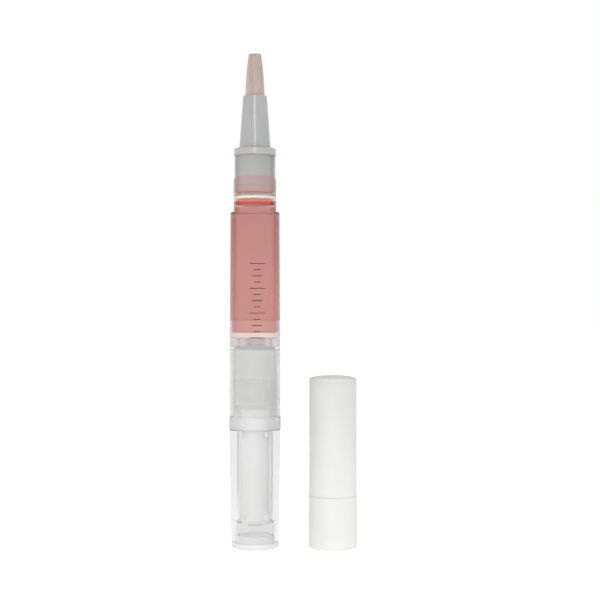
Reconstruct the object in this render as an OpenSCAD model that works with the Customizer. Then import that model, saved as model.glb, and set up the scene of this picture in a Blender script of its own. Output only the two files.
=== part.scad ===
// Twist-up nail oil pen that stands on its base, with its cap taken off and standing beside it.
// Sizes are in millimetres. The pen's axis is Z and its base is at zero.

/* [Fits] */
// Radial clearance between pieces that are pressed or glued together
fixed_gap = 0.02; // [0.01:0.01:0.04]
// Radial clearance of a piece that turns or slides in another
run_gap = 0.06; // [0.03:0.01:0.09]
// End clearance between pieces that move past each other
end_gap = 0.1; // [0.05:0.01:0.15]

/* [Knob and end plug] */
// Outer diameter of the knob at its foot
knob_foot_d = 10.1; // [9.9:0.1:10.3]
// Outer diameter of the knob just above its foot
knob_waist_d = 10.4; // [10.3:0.1:10.6]
// Outer diameter of the knob at its top
knob_top_d = 10.8; // [10.7:0.1:11.2]
// Height of the knob's top above the base
knob_h = 25; // [23:0.5:28]
// Height of the narrower foot
knob_foot_h = 5.6; // [5:0.1:6]
// Height of the chamfer between foot and waist
foot_chamfer_h = 0.4; // [0.2:0.1:0.6]
// Height of the wide cavity in the foot
cavity_h = 4.7; // [4.4:0.1:5]
// Radial step from the knob's bore out to the cavity
cavity_step = 0.52; // [0.45:0.01:0.6]
// Thickness of the end plug
end_plug_t = 1.2; // [1:0.1:1.5]
// Length of the end plug's spigot in the cavity
spigot_l = 1.5; // [1:0.1:2]
// Wall of the end plug's spigot
spigot_wall = 0.7; // [0.5:0.1:1]
// Rounding of the base's rim
base_round = 0.85; // [0.6:0.05:1]
// Diameter of the moulding mark under the base
gate_d = 2.6; // [2:0.1:3]
// Width and depth of the groove of that mark
gate_groove = 0.22; // [0.15:0.01:0.3]

/* [Drive tube] */
// Outer diameter of the drive tube
drive_d = 6; // [5.8:0.1:6.1]
// Diameter of its plain lower bore
drive_bore_d = 3.9; // [3.7:0.1:4.2]
// Height of its ribs, which centre it in the knob
rib_h = 0.58; // [0.5:0.01:0.65]
// Width of a rib
rib_w = 0.6; // [0.5:0.1:0.8]
// Length of a rib: a row of ribs stands at each end of the knob's bore
rib_l = 1.5; // [1:0.1:3]
// Number of ribs in a row, and of hooks
rib_count = 4; // [3:1:6]
// Height of a snap hook
hook_h = 0.8; // [0.6:0.1:1]
// Reach of a snap hook under the knob's bore
hook_reach = 0.35; // [0.25:0.05:0.4]
// Length of the keyed bore that turns the push rod
key_l = 7; // [6:0.5:8]
// Height of the thrust flange's rim over the tube
flange_reach = 0.9; // [0.7:0.1:1]
// Thickness of the thrust flange
flange_t = 0.6; // [0.5:0.1:0.8]

/* [Bearing ring and drag ring] */
// Outer diameter of the ring band
ring_d = 10.95; // [10.8:0.05:11.2]
// Height of the ring band
ring_h = 2.8; // [2.4:0.1:3.2]
// Rounding of the band's edges
ring_round = 0.3; // [0.2:0.05:0.4]
// Height of the ring's spigot in the sleeve
ring_spigot_h = 2.4; // [2:0.1:2.8]
// Thickness of the drag ring
drag_t = 0.62; // [0.5:0.02:0.7]

/* [Lower sleeve] */
// Outer diameter of the lower sleeve
sleeve_d = 10.8; // [10.7:0.05:11]
// Height of the lower sleeve
sleeve_h = 14.2; // [13:0.1:16]

/* [Barrel] */
// Outer diameter of the barrel at its foot
barrel_foot_d = 10.74; // [10.6:0.02:10.9]
// Outer diameter of the barrel at its shoulder
barrel_top_d = 10.5; // [10.3:0.05:10.7]
// Height of the barrel from the joint line to the shoulder
barrel_h = 29.1; // [27:0.1:32]
// Diameter of the barrel's bore
bore_d = 8.6; // [8.4:0.05:8.7]
// Thickness of the shoulder
shoulder_t = 0.9; // [0.7:0.1:1.2]
// Wall of the tail that goes down into the sleeve
tail_wall = 0.45; // [0.4:0.01:0.5]
// Length of that tail
tail_l = 5.6; // [5:0.1:6.2]
// Diameter of the neck's lower, wider part
neck_low_d = 9.1; // [8.9:0.05:9.2]
// Height of the neck's lower part
neck_low_h = 7.2; // [6.6:0.1:8]
// Diameter of the neck's upper part
neck_up_d = 8.7; // [8.5:0.05:8.9]
// Height of the neck's upper part
neck_up_h = 4.9; // [4.4:0.1:5.6]
// Diameter of the neck's bore
neck_bore_d = 7.4; // [7.2:0.05:7.6]

/* [Brush holder] */
// Diameter of the collar at its lower edge
collar_d = 9.12; // [8.9:0.02:9.2]
// Diameter of the collar at its upper edge
collar_top_d = 8.9; // [8.7:0.1:9.1]
// Height of the collar
collar_h = 1.55; // [1.3:0.05:1.8]
// Rounding of the collar's edges
collar_round = 0.25; // [0.15:0.05:0.35]
// Diameter of the cone at the collar
cone_foot_d = 6.7; // [6.4:0.1:7]
// Diameter of the cone at its lip
cone_tip_d = 5.1; // [5:0.05:5.3]
// Height of the cone
cone_h = 11.25; // [10:0.25:12.5]
// Rounding of the lip
lip_round = 0.3; // [0.2:0.05:0.35]
// Length of the plug below the collar
plug_l = 8.3; // [7.8:0.1:8.8]
// Radial step from the plug's tight part to its slim part
plug_step = 0.18; // [0.12:0.02:0.24]
// Height of the sealing rib on the slim part
rib_seal_h = 0.4; // [0.3:0.05:0.6]
// Diameter of the funnel's mouth under the plug
funnel_d = 3.8; // [3.4:0.1:4.2]
// Depth of the funnel
funnel_h = 1.6; // [1.2:0.1:2]

/* [Feed tube] */
// Outer diameter of the feed tube
feed_d = 0.8; // [0.7:0.05:0.9]
// Wall of the feed tube
feed_wall = 0.15; // [0.1:0.01:0.2]
// How far the feed tube stands out of the brush's root
feed_out = 0.6; // [0.4:0.1:0.8]

/* [Bristles] */
// Diameter of the brush at its root
brush_root_d = 4.16; // [4:0.04:4.24]
// Width of the brush's tip
brush_tip_w = 2.66; // [2.2:0.02:3]
// Thickness of the brush's tip
brush_tip_t = 2; // [1.8:0.1:2.6]
// Length of the brush outside the holder
brush_out = 9; // [8:0.1:10]
// Thickness of the root disc that the strands are fused to
root_t = 1; // [0.8:0.1:1.4]
// Depth of the root disc's top under the lip
root_depth = 0.45; // [0.4:0.05:0.6]
// How deep a strand runs into the root disc
strand_sink = 0.3; // [0.2:0.05:0.4]
// Number of strands
strand_count = 360; // [300:10:400]
// Radius of a strand at its root
strand_root_r = 0.055; // [0.045:0.005:0.06]
// Radius of a strand at its tip
strand_tip_r = 0.03; // [0.02:0.005:0.032]
// Spread of the strands' lengths at the tip
tip_ragged = 0.3; // [0.1:0.05:0.5]

/* [Oil] */
// Air between the oil's rim and the plug
air_gap = 0.3; // [0.2:0.05:0.5]
// Depth of the free surface's dip below its rim
meniscus_dip = 1.5; // [1:0.1:1.8]

/* [Piston] */
// Height of the piston's upper skirt over its web
skirt_up_h = 2.6; // [2.2:0.1:3]
// Height of the piston's lower skirt under its web
skirt_low_h = 1.5; // [1.4:0.1:1.8]
// Thickness of the piston's web
web_t = 1.3; // [1.1:0.1:1.5]
// Wall of the piston's skirts
skirt_wall = 0.62; // [0.5:0.02:0.8]
// Height of a sealing lip
lip_h = 0.7; // [0.5:0.1:0.9]
// Height of a lip over the piston's waist
lip_reach = 0.2; // [0.12:0.02:0.26]
// Diameter of the boss that holds the rod's head
boss_d = 3.2; // [3.1:0.05:3.4]
// Gap under the piston when the pen is full
rest_gap = 0.3; // [0.2:0.05:0.4]
// Gap over the piston when the pen is empty
top_gap = 0.4; // [0.3:0.05:0.6]

/* [Push rod and its nut] */
// Diameter over the push rod's thread
rod_d = 3.1; // [3:0.05:3.2]
// Diameter at the bottom of the thread
rod_root_d = 2.3; // [2.2:0.05:2.35]
// Width across the flats that key the rod to the drive tube
rod_flat_w = 2.4; // [2.36:0.02:2.5]
// Length of the threaded part
rod_l = 35; // [34:0.5:36]
// Rise of the rod for each turn of the knob
lead = 2.4; // [2.3:0.05:2.5]
// Diameter of the rod's snap head
head_d = 2.1; // [2:0.05:2.2]
// Diameter of the rod's neck under the head
head_neck_d = 1.6; // [1.5:0.05:1.7]
// Height of the snap head
head_h = 0.7; // [0.6:0.05:0.8]
// How far the nut rises into the barrel above the joint line
nut_rise = 0.5; // [0.3:0.05:0.7]
// Outer wall of the nut
nut_wall = 0.65; // [0.5:0.05:0.8]
// Wall of the nut's hub
hub_wall = 0.75; // [0.6:0.05:0.9]
// Thickness of the nut's flange
nut_flange_t = 0.8; // [0.7:0.05:1]
// Thickness of the nut's floor
nut_floor_t = 1; // [0.8:0.1:1.4]
// Diameter of a lug that runs in the thread
lug_d = 0.7; // [0.6:0.05:0.8]
// Clearance round the thread
thread_gap = 0.09; // [0.07:0.01:0.1]

/* [Ratchet] */
// Number of ratchet teeth
tooth_count = 24; // [18:1:28]
// Height of a ratchet tooth
tooth_h = 0.3; // [0.25:0.01:0.35]
// Wall of the ratchet ring behind the teeth
tooth_wall = 0.3; // [0.25:0.01:0.35]
// Number of crown teeth between ratchet ring and nut
crown_count = 12; // [8:1:14]
// Height of a crown tooth
crown_h = 0.7; // [0.5:0.05:0.75]
// Width of a crown tooth
crown_w = 1.3; // [1.1:0.05:1.6]
// Number of pawls
pawl_count = 3; // [2:1:4]
// Thickness of a pawl's arm
arm_t = 0.3; // [0.25:0.01:0.32]
// Gap between the hub and a pawl's arm
arm_gap = 0.1; // [0.08:0.01:0.12]
// Wall of the click ring's hub
click_wall = 0.24; // [0.2:0.01:0.26]
// Height of the splines that turn the click ring
spline_h = 0.2; // [0.15:0.01:0.22]
// Width of a spline
spline_w = 0.7; // [0.6:0.05:0.8]

/* [Cap] */
// Outer diameter of the cap at its mouth
cap_mouth_d = 10.3; // [10.2:0.05:10.5]
// Outer diameter of the cap at its closed end
cap_top_d = 10.04; // [9.95:0.02:10.2]
// Thickness of the closed end at its rim
cap_top_t = 1.5; // [1.2:0.05:1.8]
// Height of the crown on the closed end
cap_crown = 0.45; // [0.3:0.05:0.6]
// Rounding of the closed end's rim
cap_round = 0.5; // [0.3:0.05:0.6]
// Clearance of the cap's bore over the collar
cap_slip = 0.08; // [0.06:0.01:0.1]
// Clearance over the brush's tip when the cap is on
cap_tip_gap = 0.75; // [0.3:0.05:0.8]
// Height of the wider mouth part of the bore
cap_mouth_h = 10.85; // [10:0.05:12]
// Radial step from the bore out to the mouth part
cap_step = 0.08; // [0.05:0.01:0.1]
// Height and reach of the bead that snaps over the collar
cap_bead = 0.06; // [0.04:0.01:0.07]
// Gap between the pen and the cap that stands beside it
cap_stand_gap = 6; // [4:0.5:12]

/* [Hidden] */
$fn = 64;

// Overrun of every cut past the face it opens
over = knob_h / 25;

// Radii across the axis, from the inside out
rod_r = rod_d / 2;
rod_bore_r = rod_r + thread_gap;
drive_r = drive_d / 2;
knob_bore_r = drive_r + rib_h + fixed_gap;
cavity_r = knob_bore_r + cavity_step;
bore_r = bore_d / 2;
tail_r = bore_r + tail_wall;
sleeve_bore_r = tail_r + fixed_gap;
sleeve_fit_r = sleeve_bore_r - fixed_gap;
neck_bore_r = neck_bore_d / 2;
plug_r = neck_bore_r - fixed_gap;
tooth_root_r = sleeve_fit_r - tooth_wall;
tooth_tip_r = tooth_root_r - tooth_h;
feed_r = feed_d / 2;
brush_r = brush_root_d / 2;

// Heights along the axis, from the base up
z_cavity_top = end_plug_t + cavity_h;
z_ring = knob_h + end_gap;
z_ring_top = z_ring + ring_h;
z_spigot_top = z_ring_top + ring_spigot_h;
z_flange = z_spigot_top + end_gap;
z_flange_top = z_flange + flange_t;
z_joint = z_ring_top + sleeve_h;
z_tail = z_joint - tail_l;
z_nut = z_tail - nut_flange_t;
z_nut_top = z_joint + nut_rise;
z_drive = z_cavity_top - end_gap - hook_h;
z_drive_top = z_nut - 3 * end_gap;
z_piston = z_nut_top + rest_gap;
z_web = z_piston + skirt_low_h;
z_cup = z_web + web_t;
z_piston_top = z_cup + skirt_up_h;
z_shoulder = z_joint + barrel_h;
z_chamber_top = z_shoulder - shoulder_t;
z_neck_step = z_shoulder + neck_low_h;
z_neck_top = z_neck_step + neck_up_h;
z_plug = z_neck_top - plug_l;
z_fill = z_plug - air_gap;
z_collar_top = z_neck_top + collar_h;
z_lip = z_collar_top + cone_h;
z_root_top = z_lip - root_depth;
z_root = z_root_top - root_t;
z_tip = z_lip + brush_out;

// What the motion needs: the piston's travel and the knob's turns
stroke = z_chamber_top - top_gap - z_piston_top;
turns = stroke / lead;
echo(stroke_mm = stroke, knob_turns = turns);

// The cap, which goes on against the barrel's shoulder
cap_h = z_tip - z_shoulder + cap_tip_gap + cap_top_t;
cap_bore_r = collar_d / 2 + cap_slip;
cap_x = ring_d / 2 + cap_stand_gap + cap_mouth_d / 2;

// Points of an arc round a centre, from angle a0 to a1
function arc(c, r, a0, a1, steps = 6) =
    [for (i = [0:steps]) let (a = a0 + (a1 - a0) * i / steps) [c.x + r * cos(a), c.y + r * sin(a)]];

// A turned piece with the half outline given as [radius, height]
module turned(outline) {
    rotate_extrude() polygon(outline);
}

// A tube between two radii, from z0 up to z1
module tube(r_in, r_out, z0, z1) {
    turned([[r_in, z0], [r_out, z0], [r_out, z1], [r_in, z1]]);
}

// Copies spaced evenly round the axis
module around(count) {
    for (i = [0:count - 1]) rotate([0, 0, 360 * i / count]) children();
}

// The clear tube that holds the oil, with its tail, shoulder and neck
module barrel() {
    color([0.93, 0.93, 0.94, 0.4])
    turned([
        [bore_r, z_tail], [tail_r, z_tail], [tail_r, z_joint], [barrel_foot_d / 2, z_joint],
        [barrel_top_d / 2, z_shoulder], [neck_low_d / 2, z_shoulder], [neck_low_d / 2, z_neck_step],
        [neck_up_d / 2, z_neck_step], [neck_up_d / 2, z_neck_top], [neck_bore_r, z_neck_top],
        [neck_bore_r, z_chamber_top], [bore_r, z_chamber_top]
    ]);
}

// The white cone, collar and hollow plug in one moulding
module brush_holder() {
    slim_r = plug_r - plug_step;
    z_rib = (z_plug + z_neck_step) / 2;
    collar_r = collar_d / 2;
    collar_top_r = collar_top_d / 2;
    lip_r = cone_tip_d / 2;
    mouth_r = brush_r + fixed_gap;
    feed_bore_r = feed_r + fixed_gap;
    color([0.94, 0.94, 0.95])
    turned(concat(
        [[funnel_d / 2, z_plug], [slim_r, z_plug], [slim_r, z_rib - rib_seal_h / 2],
         [plug_r, z_rib], [slim_r, z_rib + rib_seal_h / 2], [slim_r, z_neck_step],
         [plug_r, z_neck_step], [plug_r, z_neck_top]],
        arc([collar_r - collar_round, z_neck_top + collar_round], collar_round, -90, 0),
        arc([collar_top_r - collar_round, z_collar_top - collar_round], collar_round, 0, 90),
        [[cone_foot_d / 2, z_collar_top]],
        arc([lip_r - lip_round, z_lip - lip_round], lip_round, 0, 90),
        [[mouth_r, z_lip], [mouth_r, z_root], [feed_bore_r, z_root],
         [feed_bore_r, z_plug + funnel_h]]
    ));
}

// The fine tube that leads oil from the funnel to the brush's root
module feed_tube() {
    color([0.88, 0.88, 0.86])
    tube(feed_r - feed_wall, feed_r, z_plug + funnel_h, z_root_top + feed_out);
}

// Places of the strands in the root disc, on a sunflower's spiral
strand_in_r = feed_r + 2 * fixed_gap + 2 * strand_root_r;
strand_out_r = brush_r - strand_root_r - fixed_gap;
golden = 180 * (3 - sqrt(5));
strand_root = [
    for (i = [0:strand_count - 1])
        let (r = sqrt(strand_in_r ^ 2 + (strand_out_r ^ 2 - strand_in_r ^ 2) * (i + 0.5) / strand_count))
        [r * cos(golden * i), r * sin(golden * i)]
];

// The tip drawn in from the root: every strand keeps its place, so none crosses
tip_draw_share = [brush_tip_w / brush_root_d, brush_tip_t / brush_root_d];

// Corners of a strand's end, a triangle
function strand_end(c, r, turn, z) =
    [for (k = [0:2]) [c.x + r * cos(turn + 120 * k), c.y + r * sin(turn + 120 * k), z]];

// Length taken off strand i at the tip
function cut_back(i) = tip_ragged * (0.5 + 0.5 * sin(golden * i * 7));

module bristles() {
    points = [
        for (i = [0:strand_count - 1])
            let (p = strand_root[i], q = [p.x * tip_draw_share.x, p.y * tip_draw_share.y])
            each concat(
                strand_end(p, strand_root_r, golden * i, z_root_top - strand_sink),
                strand_end(q, strand_tip_r, golden * i, z_tip - cut_back(i))
            )
    ];
    sides = [[0, 1, 2], [5, 4, 3], [0, 3, 4], [0, 4, 1], [1, 4, 5], [1, 5, 2], [2, 5, 3], [2, 3, 0]];
    faces = [for (i = [0:strand_count - 1]) for (f = sides) [for (k = f) 6 * i + k]];
    color([0.86, 0.76, 0.71]) {
        tube(feed_r + fixed_gap, brush_r - fixed_gap, z_root, z_root_top);
        polyhedron(points, faces);
    }
}

// The clear sleeve that joins barrel and bearing ring
module lower_sleeve() {
    color([0.9, 0.9, 0.91, 0.4])
    tube(sleeve_bore_r, sleeve_d / 2, z_ring_top, z_joint);
}

// One crown tooth as a radial bar with a slanted top, widened by a gap
module crown_bar(gap) {
    r_in = tooth_root_r - gap;
    translate([r_in, 0, z_nut])
        rotate([90, 0, 90])
            linear_extrude(height = tail_r - r_in + gap)
                polygon([
                    [-crown_w / 2 - gap, -gap], [crown_w / 2 + gap, -gap],
                    [crown_w / 2 + gap, crown_h / 4 + gap], [-crown_w / 2 - gap, crown_h + gap]
                ]);
}

// The fixed nut, whose lugs run in the rod's thread
module rod_nut() {
    body_r = bore_r - fixed_gap;
    hub_r = rod_bore_r + hub_wall;
    lug_in_r = rod_root_d / 2 + thread_gap;
    z_lugs = z_nut + nut_flange_t + lead / 2;
    color([0.93, 0.93, 0.93]) {
        difference() {
            turned([
                [rod_bore_r, z_nut], [sleeve_fit_r, z_nut], [sleeve_fit_r, z_tail],
                [body_r, z_tail], [body_r, z_nut_top], [body_r - nut_wall, z_nut_top],
                [body_r - nut_wall, z_tail + nut_floor_t], [hub_r, z_tail + nut_floor_t],
                [hub_r, z_nut_top], [rod_bore_r, z_nut_top]
            ]);
            around(crown_count) crown_bar(fixed_gap);
        }
        for (i = [0:2])
            rotate([0, 0, 120 * i])
                translate([lug_in_r, 0, groove_z(z_lugs, 120 * i)])
                    rotate([0, 90, 0])
                        cylinder(d = lug_d, h = rod_bore_r + hub_wall / 2 - lug_in_r);
    }
}

// The ratchet ring, held from turning by its crown teeth in the nut's flange
module ratchet_ring() {
    step = 360 / tooth_count;
    color([0.91, 0.91, 0.92]) {
        translate([0, 0, z_spigot_top])
            linear_extrude(height = z_nut - z_spigot_top)
                difference() {
                    circle(r = sleeve_fit_r);
                    polygon([
                        for (i = [0:tooth_count - 1]) each [
                            [tooth_root_r * cos(i * step), tooth_root_r * sin(i * step)],
                            [tooth_tip_r * cos((i + 1) * step), tooth_tip_r * sin((i + 1) * step)]
                        ]
                    ]);
                }
        intersection() {
            tube(tooth_root_r, sleeve_fit_r, z_nut - crown_h, z_nut + crown_h);
            around(crown_count) crown_bar(0);
        }
    }
}

// The band between sleeve and knob, with the journal that the drive tube turns in
module bearing_ring() {
    ring_r = ring_d / 2;
    journal_r = drive_r + run_gap;
    seat_r = journal_r + drag_t + fixed_gap;
    color([0.9, 0.9, 0.91, 0.5])
    turned(concat(
        [[journal_r, z_ring]],
        arc([ring_r - ring_round, z_ring + ring_round], ring_round, -90, 0),
        arc([ring_r - ring_round, z_ring_top - ring_round], ring_round, 0, 90),
        [[sleeve_fit_r, z_ring_top], [sleeve_fit_r, z_spigot_top], [seat_r, z_spigot_top],
         [seat_r, z_spigot_top - drag_t - end_gap], [journal_r, z_spigot_top - drag_t - end_gap]]
    ));
}

// The silicone ring that gives the knob its drag
module drag_ring() {
    r = drag_t / 2;
    color([0.8, 0.8, 0.8])
    rotate_extrude()
        translate([drive_r + run_gap + r, z_spigot_top - end_gap - r])
            circle(r = r);
}

// The clear knob, open at both ends
module knob() {
    z_waist = knob_foot_h + foot_chamfer_h;
    color([0.95, 0.95, 0.96, 0.35])
    turned([
        [cavity_r, end_plug_t], [knob_foot_d / 2, end_plug_t], [knob_foot_d / 2, knob_foot_h],
        [knob_waist_d / 2, z_waist], [knob_top_d / 2, knob_h], [knob_bore_r, knob_h],
        [knob_bore_r, z_cavity_top], [cavity_r, z_cavity_top]
    ]);
}

// The clear base that closes the knob's foot
module end_plug() {
    foot_r = knob_foot_d / 2;
    spigot_r = cavity_r - fixed_gap;
    gate_r = gate_d / 2;
    color([0.86, 0.86, 0.88, 0.5])
    turned(concat(
        [[0, 0], [gate_r - gate_groove, 0], [gate_r - gate_groove, gate_groove],
         [gate_r, gate_groove], [gate_r, 0]],
        arc([foot_r - base_round, base_round], base_round, -90, 0),
        [[foot_r, end_plug_t], [spigot_r, end_plug_t], [spigot_r, end_plug_t + spigot_l],
         [spigot_r - spigot_wall, end_plug_t + spigot_l], [spigot_r - spigot_wall, end_plug_t],
         [0, end_plug_t]]
    ));
}

// The white core of the knob, keyed to the push rod
module drive_tube() {
    bore_low_r = drive_bore_d / 2;
    z_key = z_drive_top - key_l;
    z_ribs = z_cavity_top + end_gap;
    hook_r = knob_bore_r + hook_reach;
    color([0.97, 0.97, 0.97]) {
        difference() {
            turned([
                [0, z_drive], [drive_r, z_drive], [drive_r, z_flange],
                [drive_r + flange_reach, z_flange], [drive_r + flange_reach, z_flange_top],
                [drive_r, z_flange_top], [drive_r, z_drive_top], [0, z_drive_top]
            ]);
            translate([0, 0, z_drive - over]) cylinder(r = bore_low_r, h = z_key - z_drive + over);
            intersection() {
                translate([0, 0, z_drive]) cylinder(r = rod_bore_r, h = z_drive_top - z_drive + over);
                translate([-rod_d, -rod_flat_w / 2 - thread_gap, z_drive])
                    cube([2 * rod_d, rod_flat_w + 2 * thread_gap, z_drive_top - z_drive + over]);
            }
        }
        for (z = [z_ribs, knob_h - rib_l])
            around(rib_count) rotate([0, 0, 180 / rib_count])
                translate([drive_r - rib_h, -rib_w / 2, z])
                    cube([2 * rib_h, rib_w, rib_l]);
        around(rib_count) rotate([0, 0, -90 / rib_count])
            rotate_extrude(angle = 180 / rib_count)
                polygon([
                    [drive_r - rib_h, z_drive], [drive_r, z_drive], [hook_r, z_drive + hook_h / 2],
                    [hook_r, z_drive + hook_h], [drive_r - rib_h, z_drive + hook_h]
                ]);
        around(2)
            translate([drive_r - spline_h, -spline_w / 2, z_flange_top])
                cube([2 * spline_h, spline_w, z_drive_top - z_flange_top]);
    }
}

// A flat sector of a ring, centred on the X axis
module ring_sector(r_in, r_out, angle) {
    reach = 2 * r_out;
    intersection() {
        difference() {
            circle(r = r_out);
            circle(r = r_in);
        }
        polygon([
            [0, 0], [reach * cos(angle / 2), -reach * sin(angle / 2)], [reach, 0],
            [reach * cos(angle / 2), reach * sin(angle / 2)]
        ]);
    }
}

// The ring of spring pawls, splined to the drive tube
module click_ring() {
    hub_in_r = drive_r + fixed_gap;
    hub_r = drive_r + spline_h + fixed_gap + click_wall;
    arm_in_r = hub_r + arm_gap;
    arm_r = arm_in_r + arm_t;
    nose_r = tooth_tip_r - run_gap;
    arm_angle = 252 / pawl_count;
    root_angle = arm_angle / 6;
    color([0.84, 0.86, 0.88])
    translate([0, 0, z_flange_top])
        linear_extrude(height = z_drive_top - 2 * end_gap - z_flange_top) {
            difference() {
                circle(r = hub_r);
                circle(r = hub_in_r);
                around(2)
                    translate([0, -spline_w / 2 - fixed_gap])
                        square([drive_r + spline_h + fixed_gap, spline_w + 2 * fixed_gap]);
            }
            around(pawl_count) rotate([0, 0, 45]) {
                ring_sector(hub_r - click_wall / 2, arm_in_r + arm_t / 2, root_angle);
                rotate([0, 0, arm_angle / 2 - root_angle / 4])
                    ring_sector(arm_in_r, arm_r, arm_angle);
                rotate([0, 0, arm_angle - root_angle])
                    ring_sector(arm_in_r + arm_t / 2, nose_r, root_angle / 2);
            }
        }
}

// Height of the thread groove's middle at an angle, from a height at angle zero
function groove_z(z, angle) = z + lead * angle / 360;

// Radius of the threaded rod at an angle and a height: a rib wound on the root, cut by two flats
rib_crest_share = 0.14;
rib_foot_share = 0.26;
function rod_radius(angle, z) =
    let (
        phase = (z - z_nut - nut_flange_t) / lead - angle / 360,
        off = abs(phase - round(phase)),
        rise = max(0, min(1, (rib_foot_share - off) / (rib_foot_share - rib_crest_share))),
        wound = rod_root_d / 2 + (rod_r - rod_root_d / 2) * rise
    )
    min(wound, rod_flat_w / 2 / max(abs(sin(angle)), 0.01));

// The threaded rod with its snap head
module push_rod() {
    rows_per_turn = 8;
    columns = 16;
    z_top = z_nut_top + end_gap;
    z_low = z_top - rod_l;
    rows = ceil(rod_l / lead * rows_per_turn);
    points = concat(
        [for (i = [0:rows]) for (j = [0:columns - 1])
            let (a = 360 * j / columns, z = z_low + (z_top - z_low) * i / rows, r = rod_radius(a, z))
            [r * cos(a), r * sin(a), z]],
        [[0, 0, z_low], [0, 0, z_top]]
    );
    low = len(points) - 2;
    high = len(points) - 1;
    faces = concat(
        [for (i = [0:rows - 1]) for (j = [0:columns - 1])
            let (a = i * columns + j, b = i * columns + (j + 1) % columns)
            each [[a, a + columns, b], [b, a + columns, b + columns]]],
        [for (j = [0:columns - 1]) [low, j, (j + 1) % columns]],
        [for (j = [0:columns - 1]) [high, rows * columns + (j + 1) % columns, rows * columns + j]]
    );
    neck_r = head_neck_d / 2;
    head_r = head_d / 2;
    z_head_top = z_web - end_gap;
    color([0.92, 0.92, 0.92]) {
        polyhedron(points, faces);
        turned([
            [0, z_top - over], [neck_r, z_top - over], [neck_r, z_head_top - head_h],
            [head_r, z_head_top - head_h / 2], [neck_r, z_head_top], [0, z_head_top]
        ]);
    }
}

// The milky piston: a cup above its web and one below, with a socket for the rod's head
module piston() {
    lip_r = bore_r - run_gap;
    waist_r = lip_r - lip_reach;
    skirt_in_r = waist_r - skirt_wall;
    socket_r = head_d / 2 + run_gap;
    mouth_r = head_neck_d / 2 + run_gap;
    z_snap = z_web - end_gap - head_h - end_gap;
    boss_r = boss_d / 2;
    color([0.95, 0.93, 0.92])
    turned([
        [mouth_r, z_piston], [boss_r, z_piston], [boss_r, z_web], [skirt_in_r, z_web],
        [skirt_in_r, z_piston], [lip_r, z_piston], [lip_r, z_piston + lip_h / 2],
        [waist_r, z_piston + lip_h], [waist_r, z_piston_top - lip_h],
        [lip_r, z_piston_top - lip_h / 2], [lip_r, z_piston_top], [skirt_in_r, z_piston_top],
        [skirt_in_r, z_cup], [0, z_cup], [0, z_web], [socket_r, z_web], [socket_r, z_snap],
        [mouth_r, z_snap - end_gap]
    ]);
}

// The oil between piston and shoulder, which the piston presses out
module oil() {
    color([0.86, 0.42, 0.4])
    translate([0, 0, z_piston_top])
        cylinder(r = bore_r - fixed_gap, h = z_chamber_top - z_piston_top);
}

// The oil in the piston's upper cup
module oil_in_piston() {
    cup_r = bore_r - run_gap - lip_reach - skirt_wall - fixed_gap;
    color([0.86, 0.42, 0.4])
    translate([0, 0, z_cup]) cylinder(r = cup_r, h = skirt_up_h);
}

// The oil in the neck, with its dipped free surface
module oil_in_neck() {
    r = neck_bore_r - fixed_gap;
    ball_r = (r ^ 2 + meniscus_dip ^ 2) / (2 * meniscus_dip);
    color([0.88, 0.4, 0.36])
    difference() {
        translate([0, 0, z_chamber_top]) cylinder(r = r, h = z_fill - z_chamber_top);
        translate([0, 0, z_fill - meniscus_dip + ball_r]) sphere(r = ball_r);
    }
}

// The frosted cap, open end down
module cap() {
    top_r = cap_top_d / 2;
    mouth_r = cap_bore_r + cap_step;
    bead_r = cap_bore_r - cap_bead;
    crown_edge_r = top_r - cap_round;
    ball_r = (crown_edge_r ^ 2 + cap_crown ^ 2) / (2 * cap_crown);
    crown_angle = asin(crown_edge_r / ball_r);
    color([0.96, 0.96, 0.97, 0.8])
    translate([cap_x, 0, 0])
        turned(concat(
            [[mouth_r, 0], [cap_mouth_d / 2, 0]],
            arc([crown_edge_r, cap_h - cap_round], cap_round, 0, 90 - crown_angle),
            arc([0, cap_h + cap_crown - ball_r], ball_r, 90 - crown_angle, 90),
            [[0, cap_h - cap_top_t], [cap_bore_r, cap_h - cap_top_t],
             [cap_bore_r, cap_mouth_h + 2 * cap_bead], [bead_r, cap_mouth_h + cap_bead],
             [cap_bore_r, cap_mouth_h], [mouth_r, cap_mouth_h]]
        ));
}

barrel();
brush_holder();
feed_tube();
bristles();
lower_sleeve();
rod_nut();
ratchet_ring();
bearing_ring();
drag_ring();
knob();
end_plug();
drive_tube();
click_ring();
push_rod();
piston();
oil();
oil_in_piston();
oil_in_neck();
cap();
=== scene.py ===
"""Looks of a twist-up nail oil pen that stands on its base, with its frosted cap beside it.

Outlines are written in millimetres as (radius, height) and turned into metres when a mesh is made.
"""
import math
import random

import bpy
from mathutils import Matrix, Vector


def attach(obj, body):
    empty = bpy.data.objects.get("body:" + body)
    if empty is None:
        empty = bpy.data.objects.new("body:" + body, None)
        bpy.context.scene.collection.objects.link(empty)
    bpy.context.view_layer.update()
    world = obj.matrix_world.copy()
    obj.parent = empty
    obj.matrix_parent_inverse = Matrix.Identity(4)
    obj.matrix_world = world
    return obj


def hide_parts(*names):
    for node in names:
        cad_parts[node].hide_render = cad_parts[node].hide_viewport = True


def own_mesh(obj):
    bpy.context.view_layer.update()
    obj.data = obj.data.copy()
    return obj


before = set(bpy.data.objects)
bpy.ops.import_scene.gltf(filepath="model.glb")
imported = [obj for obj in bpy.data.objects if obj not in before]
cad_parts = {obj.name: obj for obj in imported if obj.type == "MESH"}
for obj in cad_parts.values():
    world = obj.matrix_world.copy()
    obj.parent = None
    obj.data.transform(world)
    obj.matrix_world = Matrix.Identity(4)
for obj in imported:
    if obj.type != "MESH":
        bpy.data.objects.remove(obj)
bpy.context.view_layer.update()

SCENE = bpy.context.scene
MM = 0.001

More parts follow.
